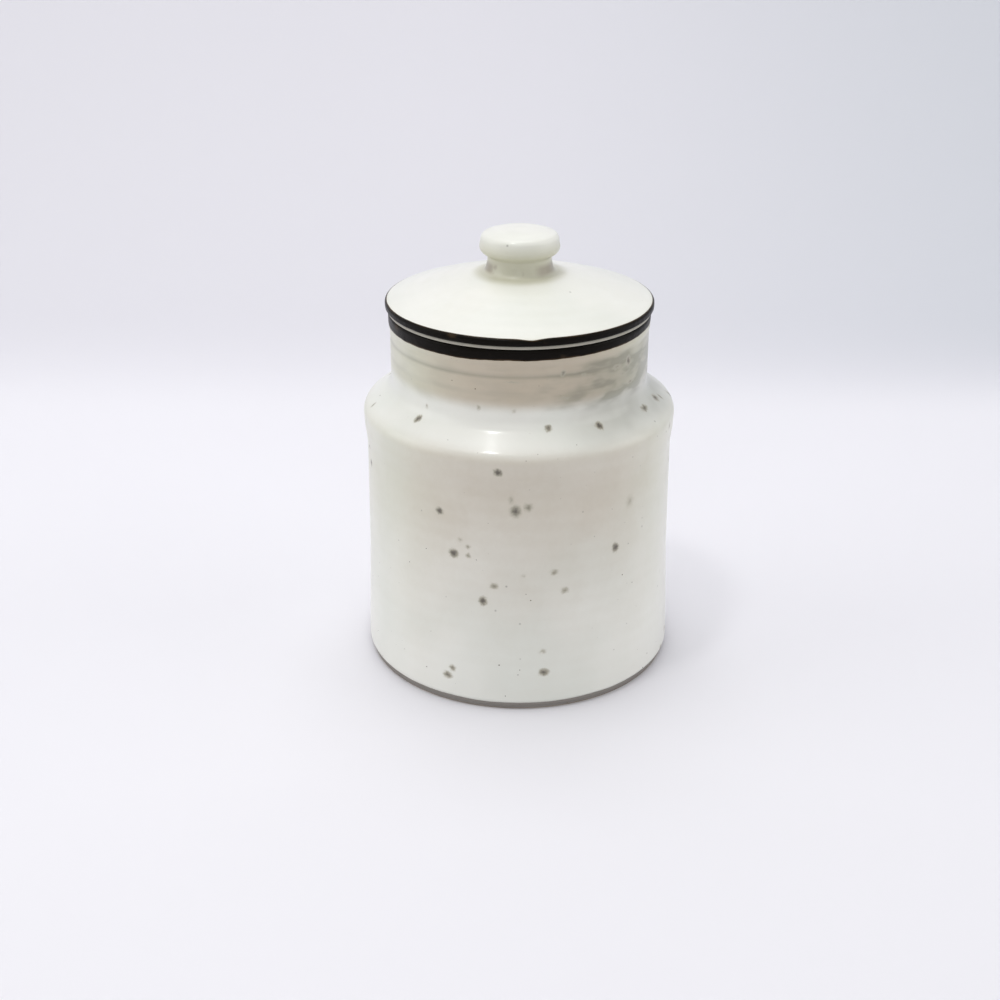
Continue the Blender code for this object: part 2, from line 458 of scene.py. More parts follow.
def turnPiece(name, line, finish, body, slot, closed=False, traits=None, **settings):
    # rings, give and groove are heights in millimetres for each point of the section
    count = len(line)
    given = {"rings": [0.0] * count, "give": [0.0] * count, "groove": [0.0] * count}
    given.update({"thin": [0.0] * count, "outside": [1.0] * count, "slide": [Vector((0, 0))] * count})
    given["outward"] = outwardOf(line, closed)
    given.update(traits or {})
    for trait in ("rings", "give", "groove"):
        given[trait] = [value * mm for value in given[trait]]
    values = {"Finish": finish, **{label.replace("_", " "): value for label, value in settings.items()}}
    piece = bake(name, sectionMesh(name, line, given, closed), wheel, values)
    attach(piece, body)
    print(f"{name}: {len(piece.data.polygons)} faces")
    return piece


def brushBand(name, line, finish, body, **settings):
    values = {"Finish": finish, **{label.replace("_", " "): value for label, value in settings.items()}}
    piece = bake(name, sectionMesh(name, line), brush, values)
    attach(piece, body)
    print(f"{name}: {len(piece.data.polygons)} faces")
    return piece


def buildGlazeFlow():
    # thick and thin glaze, whose thin share also carries painted shade: colour, gloss and the soft hills of a
    # melted surface
    tree, w, given, result = newTree(
        "glazeFlow",
        "ShaderNodeTree",
        [
            ("Place", "Vector"), ("Thin", "Float", 0.0), ("Mottle", "Float", 0.3),
            ("Thick colour", "Color", (0.8, 0.79, 0.74, 1.0)),
            ("Cool colour", "Color", (0.74, 0.77, 0.74, 1.0)),
            ("Thin colour", "Color", (0.6, 0.5, 0.4, 1.0)),
        ],
        [("Colour", "Color"), ("Roughness", "Float"), ("Height", "Float")],
    )
    place = given["Place"]
    clouds = w.sub(w.noise(place, 34.0, 3.0), 0.5)
    bent = w.vector("ADD", w.vector("MULTIPLY", place, (1.0, 1.0, 0.3)), w.vector("SCALE", place, clouds))
    runs = w.sub(w.noise(bent, 70.0, 2.0), 0.5)
    freckle = w.sub(w.noise(place, 530.0, 2.0), 0.5)
    drift = w.add(clouds, w.mul(runs, 0.45))
    drift = w.add(drift, w.mul(freckle, 0.25))
    thin = w.add(given["Thin"], w.mul(drift, given["Mottle"]))
    thin = w.ease(thin, -0.25, 1.15)
    cool = w.ease(w.noise(w.vector("ADD", place, (0.31, 0.12, 0.07)), 21.0, 2.0), 0.42, 0.68)
    colour = w.mix(cool, given["Thick colour"], given["Cool colour"])
    colour = w.mix(thin, colour, given["Thin colour"])
    w.plug(result["Colour"], colour)
    polish = w.mulAdd(w.noise(place, 90.0, 3.0), 0.14, 0.28)
    w.plug(result["Roughness"], w.mulAdd(thin, 0.06, polish))
    hills = w.mulAdd(w.noise(place, 115.0, 1.0), 1.0, w.mul(w.noise(place, 420.0, 1.0), 0.16))
    w.plug(result["Height"], hills)
    return tree


def buildPepper():
    # small specks: cells of a Voronoi pattern, some of which hold one
    tree, w, given, result = newTree(
        "pepper",
        "ShaderNodeTree",
        [
            ("Place", "Vector"), ("Spacing", "Float", 0.005),
            ("Size", "Float", 0.0004), ("Share", "Float", 0.3),
        ],
        [("Speck", "Float")],
    )
    scaled = w.vector("SCALE", given["Place"], w.div(1.0, given["Spacing"]))
    cells = w.put("ShaderNodeTexVoronoi", {"Vector": scaled, "Scale": 1.0, "Randomness": 1.0})
    chance, sizeLuck, _ = w.put("ShaderNodeSeparateColor", {"Color": cells.outputs["Color"]}).outputs
    distance = w.mul(cells.outputs["Distance"], given["Spacing"])
    reach = w.mul(given["Size"], w.mulAdd(sizeLuck, 1.2, 0.4))
    speck = w.sub(1.0, w.div(distance, reach))
    speck = w.calc("MAXIMUM", speck, 0.0)
    w.plug(result["Speck"], w.mul(speck, w.calc("LESS_THAN", chance, given["Share"])))
    return tree


# Iron spots that matter for the look of the front: degrees round from the front, height and size in
# millimetres, height of the spot for its width, and how dark it is.
ironSpots = [
    (-45, 110.9, 3.0, 0.6, 0.75), (-43, 115.4, 2.0, 0.8, 0.35), (-17, 119.4, 2.2, 0.8, 0.4),
    (-2, 118.9, 1.8, 0.8, 0.3), (12, 112.4, 3.0, 0.6, 0.7), (34, 110.9, 3.0, 0.6, 1.0),
    (63, 110.4, 4.6, 0.35, 0.75), (77, 109.9, 4.0, 0.5, 0.8), (18.5, 132.4, 2.4, 0.9, 0.6),
    (28, 130.9, 2.4, 0.6, 0.4), (46, 130.4, 5.5, 0.3, 0.5), (54, 130.9, 3.0, 1.2, 0.8),
    (50, 126.9, 5.0, 0.3, 0.45), (56, 122.4, 5.0, 0.3, 0.55), (19, 122.9, 6.0, 0.2, 0.35),
    (-3, 129.9, 7.0, 0.12, 0.4), (-7, 99.4, 2.7, 1.0, 1.0), (-29, 80.4, 2.7, 1.0, 0.9),
    (-1, 83.9, 3.6, 1.2, 0.8), (3.5, 85.4, 3.0, 1.0, 0.6), (-2.5, 88.4, 2.0, 1.6, 0.4),
    (44, 80.4, 3.8, 1.2, 0.35), (-23.5, 64.4, 3.2, 1.0, 1.0), (-18, 64.4, 2.0, 1.0, 0.5),
    (-18, 67.9, 2.0, 1.0, 0.5), (-21, 70.4, 2.0, 1.0, 0.35), (37.5, 63.4, 2.9, 1.2, 0.95),
    (13, 58.4, 2.9, 0.8, 0.5), (17, 50.4, 2.9, 0.9, 0.5), (-8.5, 52.9, 3.0, 0.8, 0.6),
    (-12.5, 46.4, 2.6, 1.3, 0.95), (2, 57.4, 1.8, 1.0, 0.3), (-26, 11.9, 3.4, 0.8, 0.7),
    (-24, 15.4, 2.4, 1.0, 0.6), (9.5, 16.4, 3.4, 0.8, 0.8), (9, 25.4, 2.6, 0.8, 0.35),
]
ironLook = {
    "outlineNoise": 0.9, "outlineScale": 0.75,
    "backFrom": 66, "backSpacing": 15.0, "backShare": 0.5, "seed": 4,   # degrees, millimetres
}


def buildIronSpots():
    tree, w, given, result = newTree(
        "ironSpots", "ShaderNodeTree", [("Place", "Vector"), ("Girth", "Float", 0.06)], [("Spot", "Float")]
    )
    x, y, z = w.split(given["Place"])
    angle = w.angleOf(x, y)
    across = w.div(w.mul(angle, given["Girth"]), mm)
    unrolled = w.join(across, w.div(z, mm), 0.0)
    values = {"Vector": unrolled, "Scale": ironLook["outlineScale"], "Detail": 3.0}
    ragged = w.put("ShaderNodeTexNoise", values).outputs["Color"]
    ragged = w.vector("SCALE", w.vector("SUBTRACT", ragged, (0.5, 0.5, 0.5)), 2 * ironLook["outlineNoise"])
    unrolled = w.vector("ADD", unrolled, w.vector("MULTIPLY", ragged, (1.0, 1.0, 0.0)))
    spot = 0.0
    for degrees, height, wide, tall, dark in ironSpots:
        reachX, reachZ = wide * 0.8, wide * tall * 0.8
        middle = radians(degrees) * 60.0
        scale, shift = (1 / reachX, 1 / reachZ, 0.0), (-middle / reachX, -height / reachZ, 0.0)
        distance = w.vector("LENGTH", w.vector("MULTIPLY_ADD", unrolled, scale, shift))
        spot = w.calc("MAXIMUM", spot, w.mulAdd(distance, -dark, dark))
    # the sides and the back have their own
    spacing = ironLook["backSpacing"]
    seedShift = (0.37 * ironLook["seed"], 0.0, 0.0)
    cellPlace = w.vector("ADD", w.vector("SCALE", unrolled, 1 / spacing), seedShift)
    cells = w.put("ShaderNodeTexVoronoi", {"Vector": cellPlace, "Scale": 1.0}, voronoi_dimensions="2D")
    chance, sizeLuck, darkLuck = w.put("ShaderNodeSeparateColor", {"Color": cells.outputs["Color"]}).outputs
    reach = w.mulAdd(sizeLuck, 1.6 / spacing, 1.1 / spacing)
    cone = w.sub(1.0, w.div(cells.outputs["Distance"], reach))
    cone = w.mul(cone, w.mulAdd(darkLuck, 0.7, 0.35))
    cone = w.mul(cone, w.calc("LESS_THAN", chance, ironLook["backShare"]))
    back = radians(ironLook["backFrom"])
    cone = w.mul(cone, w.ease(w.calc("ABSOLUTE", angle), back, back + 0.15))
    w.plug(result["Spot"], w.calc("MAXIMUM", spot, cone))
    return tree


glazeFlow, pepper, ironField = buildGlazeFlow(), buildPepper(), buildIronSpots()


def newMaterial(name, roughness=0.5):
    material = bpy.data.materials.new(name)
    material.use_nodes = True
    w = Wiring(material.node_tree)
    shader = material.node_tree.nodes["Principled BSDF"]
    shader.inputs["Roughness"].default_value = roughness
    place = w.put("ShaderNodeTexCoord").outputs["Object"]
    return material, w, shader, place


def groupNode(w, group, values):
    made = w.tree.nodes.new("ShaderNodeGroup")
    made.node_tree = group
    for label, value in values.items():
        w.plug(made.inputs[label], value)
    return made.outputs


def specksOf(w, place, spacing, size, share):
    return groupNode(w, pepper, {"Place": place, "Spacing": spacing, "Size": size, "Share": share})["Speck"]


def trait(w, name):
    return w.put("ShaderNodeAttribute", attribute_name=name).outputs["Fac"]


def coat(w, shader, colour, roughness, height=None, relief=0.0):
    w.plug(shader.inputs["Base Color"], colour)
    w.plug(shader.inputs["Roughness"], roughness)
    if height is not None:
        bump = w.put("ShaderNodeBump", {"Height": height, "Distance": relief, "Strength": 1.0})
        w.plug(shader.inputs["Normal"], bump.outputs[0])


creamLook = {
    "thick": (0.865, 0.865, 0.81),
    "cool": (0.80, 0.815, 0.755),
    "thin": (0.52, 0.45, 0.345),
    "greenish": (0.57, 0.555, 0.415),
    # the next colour serves the neck's streaks and painted shade on the right of the neck and shoulder and in the
    # throwing grooves
    "greyGreen": (0.21, 0.21, 0.155),
    "toast": (0.24, 0.18, 0.13),
    "iron": (0.12, 0.105, 0.083),
    "halo": (0.47, 0.44, 0.35),
    "mottle": 0.32,
}


def makeNeckStreaksAndShade():
    # grey-green streaks on the neck, most of them on one side, and painted shade: a grey-green darkening over the
    # right side of the neck and shoulder
    inputs, outputs = [("Place", "Vector")], [("StreaksAndShade", "Float")]
    tree, w, given, result = newTree("neckStreaksAndShade", "ShaderNodeTree", inputs, outputs)
    x, y, z = w.split(given["Place"])
    angle = w.angleOf(x, y)
    height = w.div(z, mm)
    onNeck = w.mul(w.ease(height, 115.0, 121.0), w.ease(height, 137.0, 134.0))
    side = w.ease(w.facing(angle, radians(66)), 0.35, 0.95, 0.2, 1.0)
    streakPlace = w.join(w.mul(angle, 3.0), w.mul(height, 0.17), 0.0)
    streak = w.ease(w.noise(streakPlace, 1.35, 2.0, 0.45), 0.38, 0.72)
    greyGreen = w.mul(w.mul(onNeck, side), streak)
    # painted shade: darker and greyer on the right side of the neck and shoulder
    sideShadeMask = w.ease(w.facing(angle, radians(72)), 0.5, 0.95)
    sideShade = w.mul(w.ease(height, 102.0, 110.0), w.ease(height, 139.0, 133.0))
    sideShade = w.mul(w.mul(sideShade, sideShadeMask), w.ease(w.noise(given["Place"], 55.0, 2.0), 0.3, 0.7, 0.5, 0.85))
    w.plug(result["StreaksAndShade"], w.add(greyGreen, sideShade))
    return tree


neckStreaksAndShade = makeNeckStreaksAndShade()


def makeCreamGlaze(name, spotted):
    material, w, shader, place = newMaterial(name)
    thin = w.add(trait(w, "thin"), w.mul(trait(w, "crest"), 0.02))
    x, y, z = w.split(place)
    angle = w.angleOf(x, y)
    if spotted:
        # painted shade: the glaze is made darker towards the front than at the two sides
        facing = w.facing(angle, radians(5))
        thin = w.mul(thin, w.ease(facing, 0.25, 0.9, 0.66, 1.0))
    values = {"Place": place, "Thin": thin, "Mottle": creamLook["mottle"]}
    for label in ("thick", "cool"):
        values[label.capitalize() + " colour"] = (*creamLook[label], 1.0)
    if spotted:
        values["Thin colour"] = w.mix(w.ease(facing, 0.5, 0.95), creamLook["greenish"], creamLook["thin"])
    else:
        values["Thin colour"] = (*creamLook["greenish"], 1.0)
    flow = groupNode(w, glazeFlow, values)
    specks = specksOf(w, place, 0.0046, 0.00042, 0.24 if spotted else 0.06)
    speck = w.ease(specks, 0.0, 0.9, 0.0, 0.5)
    colour = w.mix(speck, flow["Colour"], creamLook["iron"])
    height, roughness = flow["Height"], flow["Roughness"]
    if not spotted:
        # toasted clay shows through beside the knob's joint
        aboveSeat = w.sub(w.div(z, mm), knobSeat)
        seatBand = w.mul(w.ease(aboveSeat, -0.2, 1.2), w.ease(aboveSeat, 5.0, 2.6))
        girth = w.girthOf(x, y)
        seatBand = w.mul(seatBand, w.ease(girth, 16.0 * mm, 14.5 * mm))
        ringPlace = w.join(w.calc("SINE", angle), w.calc("COSINE", angle), w.div(z, 0.012))
        patches = w.ease(w.noise(ringPlace, 1.9, 3.0), 0.5, 0.68)
        for middle, narrow, wide in ((-72, 0.99, 0.9), (60, 0.97, 0.8)):
            near = w.ease(w.facing(angle, radians(middle)), wide, narrow)
            patches = w.calc("MAXIMUM", patches, near)
        colour = w.mix(w.mul(w.mul(seatBand, patches), 0.55), colour, creamLook["toast"])
    if spotted:
        greyGreen = groupNode(w, neckStreaksAndShade, {"Place": place})["StreaksAndShade"]
        # painted shade in the throwing grooves, darker where they are cut deeper
        grooveShade = w.mul(trait(w, "cut"), 1.3)
        greyGreenShare = w.calc("MINIMUM", w.add(w.mul(greyGreen, 0.6), grooveShade), 0.7)
        colour = w.mix(greyGreenShare, colour, creamLook["greyGreen"])
        spot = groupNode(w, ironField, {"Place": place, "Girth": 0.06})["Spot"]
        colour = w.mix(w.ease(spot, 0.0, 0.45), colour, creamLook["halo"])
        colour = w.mix(w.ease(spot, 0.18, 0.85), colour, creamLook["iron"])
        height = w.sub(height, w.ease(spot, 0.1, 0.8, 0.0, 1.0))
        roughness = w.add(roughness, w.ease(spot, 0.3, 0.9, 0.0, 0.14))
    coat(w, shader, colour, roughness, height, 0.00013)
    shader.inputs["Coat Weight"].default_value = 0.4
    shader.inputs["Coat Roughness"].default_value = 0.14
    return material


rimLook = {"dark": (0.0045, 0.0032, 0.002), "brown": (0.10, 0.062, 0.03)}


def makeRimGlaze():
    material, w, shader, place = newMaterial("ironRimGlaze")
    x, y, z = w.split(place)
    angle = w.angleOf(x, y)
    stroke = w.join(w.mul(angle, 3.5), w.mul(z, 900.0), 0.0)
    hairs = w.noise(stroke, 1.6, 4.0, 0.6)
    edge = w.add(trait(w, "toEdge"), w.mul(w.sub(hairs, 0.5), 1.3))
    worn = w.sub(1.0, w.ease(edge, -0.25, 0.7))
    blotch = w.ease(w.noise(place, 160.0, 3.0), 0.6, 0.78, 0.0, 0.3)
    share = w.calc("MAXIMUM", w.mul(worn, 0.85), blotch)
    colour = w.mix(share, rimLook["dark"], rimLook["brown"])
    height = w.add(w.mul(hairs, 0.6), w.noise(place, 380.0, 2.0))
    coat(w, shader, colour, w.mulAdd(hairs, 0.25, 0.2), height, 0.00012)
    shader.inputs["Specular IOR Level"].default_value = 0.08
    return material


clayLook = {
    "pale": (0.42, 0.355, 0.275), "toast": (0.26, 0.20, 0.145),
    # the second colour on the next line is painted contact shade for the bare heel
    "grog": (0.16, 0.12, 0.085), "contactShade": (0.27, 0.25, 0.23),
}


def makeBareClay():
    material, w, shader, place = newMaterial("bareStoneware", 0.85)
    clouds = w.ease(w.noise(place, 55.0, 4.0), 0.35, 0.7)
    colour = w.mix(clouds, clayLook["pale"], clayLook["toast"])
    # painted contact shade: the bare heel under the glaze line is darkened to grey
    z = w.split(place)["Z"]
    heel = w.mul(w.ease(z, 0.0001, 0.0007), w.ease(z, 0.006, 0.0045))
    colour = w.mix(w.mul(heel, trait(w, "outside")), colour, clayLook["contactShade"])
    grog = specksOf(w, place, 0.0021, 0.00035, 0.45)
    colour = w.mix(w.ease(grog, 0.0, 0.8, 0.0, 0.8), colour, clayLook["grog"])
    grain = w.add(w.noise(place, 1300.0, 3.0), w.mul(grog, 0.8))
    coat(w, shader, colour, w.mulAdd(clouds, -0.12, 0.9), grain, 0.00012)
    return material


sealLook = {"pale": (0.44, 0.42, 0.36), "dull": (0.37, 0.35, 0.29), "dust": (0.30, 0.27, 0.22)}


def makeSealSilicone():
    material, w, shader, place = newMaterial("paleSilicone", 0.4)
    haze = w.noise(place, 120.0, 3.0)
    colour = w.mix(haze, sealLook["pale"], sealLook["dull"])
    dust = specksOf(w, place, 0.0018, 0.00016, 0.35)
    colour = w.mix(w.ease(dust, 0.0, 0.9, 0.0, 0.35), colour, sealLook["dust"])
    coat(w, shader, colour, w.mulAdd(haze, 0.2, 0.34), w.noise(place, 900.0, 2.0), 0.00004)
    shader.inputs["Subsurface Weight"].default_value = 0.15
    shader.inputs["Subsurface Radius"].default_value = (0.002, 0.0018, 0.0014)
    return material


def makeIronGrain():
    material, w, shader, place = newMaterial("meltedIron", 0.35)
    rust = w.noise(place, 700.0, 2.0)
    colour = w.mix(rust, (0.035, 0.026, 0.018), (0.16, 0.105, 0.06))
    coat(w, shader, colour, w.mulAdd(rust, 0.3, 0.15))
    shader.inputs["Coat Weight"].default_value = 0.5
    return material


spottedGlaze = makeCreamGlaze("speckledCreamGlaze", True)
plainGlaze = makeCreamGlaze("creamGlaze", False)
rimGlaze, bareClay = makeRimGlaze(), makeBareClay()
silicone, meltedIron = makeSealSilicone(), makeIronGrain()
print("glazes mixed")


# heights and radii of the jar's clay in millimetres; grooves are height, depth and width
jar = {
    "base": 61.7, "waist": 60.2, "wallTop": 59.7, "wallTopHeight": 90.4,
    "shoulder": 60.9, "shoulderTop": 104.4, "roll": 7.5,
    "neck": 49.7, "neckFoot": 113.0, "rim": 50.1, "rimBand": 5.0,
    "wall": 5.2, "floorTop": 7.8, "mouth": 45.2, "mouthFoot": 108.8,
    "foot": 60.6, "footInner": 51.5, "footHeight": 2.0, "heel": 4.6,
    "glaze": 0.3, "skinDepth": 0.45, "glazeLine": 2.4, "waver": 0.45, "wobble": 0.16,
    "throwingRings": 0.02, "neckRings": 0.04, "insideRings": 0.28, "floorRings": 0.12,
    "ringPitch": 6.3, "insidePitch": 8.5,
    "grooves": [(131.7, 0.34, 0.7), (125.2, 0.1, 0.6)], "grooveFrom": -12,
    "segments": 256,
}


def jarCorners():
    j = jar
    inside = [
        (0.0, j["floorTop"]),
        (j["base"] - j["wall"], j["floorTop"], 11.0),
        (j["wallTop"] - j["wall"], j["wallTopHeight"], 30.0),
        (j["shoulder"] - j["wall"] - 0.5, j["shoulderTop"] - 3.5, 6.0),
        (j["mouth"], j["mouthFoot"], 4.0),
        (j["mouth"], rimHeight, 0.9),
        ((j["mouth"] + j["rim"]) / 2, rimHeight),
    ]
    outside = [
        ((j["mouth"] + j["rim"]) / 2, rimHeight),
        (j["rim"], rimHeight, 1.4),
        (j["rim"], rimHeight - j["rimBand"], 1.0),
        (j["neck"], rimHeight - j["rimBand"] - 1.5, 1.0),
        (j["neck"], j["neckFoot"], 6.0),
        (j["shoulder"], j["shoulderTop"], 5.0),
        (j["shoulder"] - 0.4, j["shoulderTop"] - j["roll"], 4.0),
        (j["wallTop"], j["wallTopHeight"], 15.0),
        (j["waist"], j["wallTopHeight"] / 2, 200.0),
        (j["base"], j["heel"], 3.0),
        (j["base"] - 0.5, j["footHeight"], 0.5),
        (j["foot"], j["footHeight"] - 0.1),
    ]
    foot = [
        (j["foot"], j["footHeight"] - 0.1),
        (j["foot"] - 0.1, 0.0, 0.5),
        (j["footInner"], 0.0, 0.5),
        (j["footInner"] - 1.2, j["footHeight"], 0.6),
        (0.0, j["footHeight"]),
    ]
    return inside, outside, foot


insideCorners, outsideCorners, footCorners = jarCorners()
insideLine = outlineOf(insideCorners, 1.6)
outsideLine = outlineOf(outsideCorners, 1.0)
footLine = outlineOf(footCorners, 1.5)
fit = jarHigh.x / mm / max(p.x for p in outsideLine)   # the frame's widest point sets the girth
for line in (insideLine, outsideLine, footLine):
    for i, p in enumerate(line):
        line[i] = Vector((p.x * fit, p.y))


def shellOf(line, normals, depth, rollWidth=0.0, roll=0.0):
    # a closed skin that lies on the line: its face, then its back, and soft ends
    along = lengthsAlong(line)
    total = along[-1]
    face = []
    for p, n, s in zip(line, normals, along):
        swell = roll * bell(total - s, rollWidth, rollWidth) if roll else 0.0
        face.append(p + n * swell)
    back = [p - n * depth for p, n in list(zip(line, normals))[-2:0:-1]]
    face[-1] = line[-1] - normals[-1] * depth * 0.5
    return face + back


def wholeJar():
    line = insideLine[:-1] + outsideLine[:-1] + footLine
    return line, outwardOf(line)


wholeLine, wholeNormals = wholeJar()
insideNormals = wholeNormals[: len(insideLine)]
outsideNormals = wholeNormals[len(insideLine) - 1 : len(insideLine) - 1 + len(outsideLine)]
lineEnd = next(i for i, p in enumerate(outsideLine) if p.y < jar["glazeLine"] and p.x > 59)
outerSkin, outerNormals = outsideLine[:lineEnd], outsideNormals[:lineEnd]


def jarGive(p):
    # how far the hand's wobble may move the wall: none near the mouth and the foot
    return jar["wobble"] * between(p.y, 5, 22, 121, 134)


def jarRings(p):
    wall = jar["throwingRings"] * between(p.y, 8, 18, 90, 96)
    return wall + jar["neckRings"] * between(p.y, 114, 118, 131, 135)


def jarGroove(p):
    return sum(depth * bell(p.y, height, width) for height, depth, width in jar["grooves"])


def jarThinAndShade(p):
    # the neck takes the thin colour, the glaze pooled on the shoulder, and the wall carries painted shade: darker
    # upward and under the shoulder's roll, paler near the foot
    neck = 1.0 * smooth(p.y, 116.5, 123.5)
    # painted shade on the wall: darker upward and under the shoulder, paler near the foot
    wall = (0.55 * smooth(p.y, 0, 88) + 0.11 * bell(p.y, 90, 16)) * (1 - smooth(p.y, 103, 109))
    pool = 0.05 + 0.1 * bell(p.y, 109, 4)
    return neck + wall - pool


skinLine = shellOf(outerSkin, outerNormals, jar["skinDepth"], 0.8, 0.1)
skinCount = len(outerSkin)
skinTail = lengthsAlong(outerSkin)
fade = [smooth(skinTail[-1] - s, 5.0, 0.0) for s in skinTail]
tangents = [Vector((-n.y, n.x)) for n in outerNormals]
slides = [t * f for t, f in zip(tangents, fade)]
skinFrom = list(range(skinCount)) + list(range(skinCount - 2, 0, -1))
jarGlaze = turnPiece(
    "jar_glaze", skinLine, spottedGlaze, "crock", "cream_glaze", closed=True,
    traits={
        "outward": [outerNormals[i] for i in skinFrom],
        "give": [jarGive(outerSkin[i]) for i in skinFrom],
        "rings": [jarRings(outerSkin[i]) for i in skinFrom],
        "groove": [jarGroove(outerSkin[i]) for i in skinFrom],
        "thin": [jarThinAndShade(outerSkin[i]) for i in skinFrom],
        "slide": [slides[i] for i in skinFrom],
        "outside": [1.0] * skinCount + [0.0] * (skinCount - 2),
    },
    Segments=jar["segments"], Ring_pitch=jar["ringPitch"] * mm, Waver=jar["waver"] * mm, Waver_scale=3.0, Seed=3.0,
    Groove_angle=radians(jar["grooveFrom"]),
)

linerLine = shellOf(insideLine, insideNormals, jar["skinDepth"])
linerFrom = list(range(len(insideLine))) + list(range(len(insideLine) - 2, 0, -1))
linerLine[0] = insideLine[0]
linerLine.append(Vector((0.0, insideLine[0].y - jar["skinDepth"])))   # the skin closes on the axis
turnPiece(
    "jar_liner_glaze", linerLine, plainGlaze, "crock", "cream_glaze",
    traits={
        "outward": [insideNormals[i] for i in linerFrom] + [insideNormals[0]],
        "rings": [
            jar["insideRings"] * between(insideLine[i].y, 9, 22, 97, 106)
            + jar["floorRings"] * (1 - smooth(insideLine[i].y, 8, 9)) * smooth(insideLine[i].x, 2, 8)
            for i in linerFrom
        ] + [0.0],
        "thin": [0.12] * (len(linerFrom) + 1),
    },
    Segments=160, Ring_pitch=jar["insidePitch"] * mm, Seed=9.0,
)


def clayInset(i):
    # the clay lies under the glaze, and comes out to its true size below the glaze line
    p = wholeLine[i]
    underGlaze = 1.0 if i < len(insideLine) - 1 + lineEnd else 0.0
    if p.x > 59 and p.y < 6 and i > len(insideLine):
        underGlaze = smooth(p.y, jar["glazeLine"] - 0.5, jar["glazeLine"] + 1.0)
    return jar["glaze"] * underGlaze


def isOutside(i):
    return len(insideLine) <= i < len(insideLine) + lineEnd


clayLine = [p - n * clayInset(i) for i, (p, n) in enumerate(zip(wholeLine, wholeNormals))]
clayLine[0].x = clayLine[-1].x = 0.0
jarClay = turnPiece(
    "jar_clay", clayLine, bareClay, "crock", "bare_clay",
    traits={
        "outward": wholeNormals,
        "give": [jarGive(p) if isOutside(i) else 0.0 for i, p in enumerate(wholeLine)],
        "rings": [jarRings(p) if isOutside(i) else 0.0 for i, p in enumerate(wholeLine)],
        "groove": [jarGroove(p) if isOutside(i) else 0.0 for i, p in enumerate(wholeLine)],
        "outside": [1.0 if p.x > 60 else 0.0 for p in wholeLine],
    },
    Segments=192, Ring_pitch=jar["ringPitch"] * mm, Seed=3.0, Groove_angle=radians(jar["grooveFrom"]),
)
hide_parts("crock_body")
print("jar thrown and glazed")

bandDepth = 0.35    # how far both bands reach down into the clay, so no gap shows beside them
jarBand = {
    "start": 1.2, "lowEdge": 138.3, "insideEdge": 141.0, "thickness": 0.11,
    "lean": 0.75, "leanFrom": -75, "waver": 0.8,
}
bandLine = [p for p in insideLine if p.y > jarBand["insideEdge"] - 1.5 and p.x < 47.0][:-1] + [
    p for p in insideLine if p.y > rimHeight - 0.01 and p.x >= 47.0
] + [p for p in outsideLine[1:] if p.y > 127 and p.x < 51]
bandLengths = lengthsAlong(bandLine)
lowAt = next(s for s, p in zip(bandLengths, bandLine) if p.y < jarBand["lowEdge"] and p.x > 49)
brushBand(
    "jar_rim_band", bandLine, rimGlaze, "crock",
    Segments=320, Rows=26, Side=-1.0, Start=jarBand["start"] * mm, End=lowAt * mm,
    Thickness=jarBand["thickness"] * mm, Depth=bandDepth * mm, Waver=jarBand["waver"] * mm, Seed=5.0,
    Lean=jarBand["lean"] * mm, Lean_angle=radians(jarBand["leanFrom"]),
)

grains = {"density": 2600.0, "smallest": 0.09, "largest": 0.34, "flatness": 0.22, "seed": 21}
ironGrains = bake(
    "iron_grains", jarGlaze.data.copy(), grainShaker,
    {"Density": grains["density"], "Smallest": grains["smallest"] * mm, "Largest": grains["largest"] * mm,
     "Flatness": grains["flatness"], "Seed": grains["seed"], "Finish": meltedIron},
)
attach(ironGrains, "crock")
print(f"iron_grains: {len(ironGrains.data.polygons)} faces")


lid = {
    "edge": 2.8, "rise": 12.5, "sweep": 1.35, "wall": 5.0,
    "plug": 42.4, "plugWall": 4.9, "beadWidth": 0.9, "beadHeight": 2.2, "seat": 12.9,
    "glaze": 0.3, "skinDepth": 0.45, "wobble": 0.07, "rings": 0.03, "segments": 256,
}
lidUnder = sealHigh.z / mm + 0.2
lidTopEdge = lidUnder + lid["edge"]


def lidTop(radius):
    return lidTopEdge + lid["rise"] * (1 - (radius / (lidRadius - 0.9)) ** lid["sweep"])


topLine = [Vector((r * 0.8, lidTop(max(r * 0.8, lid["seat"])))) for r in range(0, 61)]
topLine = [p for p in topLine if p.x < lidRadius - 1.6]
plugBottom = lidLow.z / mm
hollow = lid["plug"] - lid["plugWall"]
edgeCorners = [
    tuple(topLine[-1]),
    (lidRadius - 0.75, lidTop(lidRadius - 0.75), 0.7),
    (lidRadius, lidTopEdge - 0.6, 0.7),
    (lidRadius, lidUnder, 0.7),
    (lid["plug"], lidUnder),
]
plugCorners = [
    (lid["plug"], lidUnder),
    (lid["plug"], plugBottom + lid["beadHeight"]),
    (lid["plug"] + lid["beadWidth"], plugBottom + lid["beadHeight"] - 0.6, 0.3),
    (lid["plug"] + lid["beadWidth"], plugBottom, 1.2),
    (hollow, plugBottom, 1.2),
]
hollowCorners = [
    (hollow, plugBottom, 1.2),
    (hollow - 0.6, lidUnder + 0.8, 3.0),
    (hollow - 3.4, lidTop(hollow - 3.4) - lid["wall"], 2.0),
    (hollow - 12, lidTop(hollow - 12) - lid["wall"], 20.0),
    (lid["seat"] + 4, lidTop(lid["seat"] + 4) - lid["wall"], 12.0),
    (0.0, lidTop(lid["seat"]) - lid["wall"]),
]
edgeLine = outlineOf(edgeCorners, 0.8)
lidOutline = topLine[:-1] + edgeLine[:-1] + outlineOf(plugCorners + hollowCorners[1:], 1.2)
lidNormals = outwardOf(lidOutline)
glazedTo = next(i for i, p in enumerate(lidOutline) if p.x < lidRadius - 1.0 and p.y < lidUnder + 0.01)
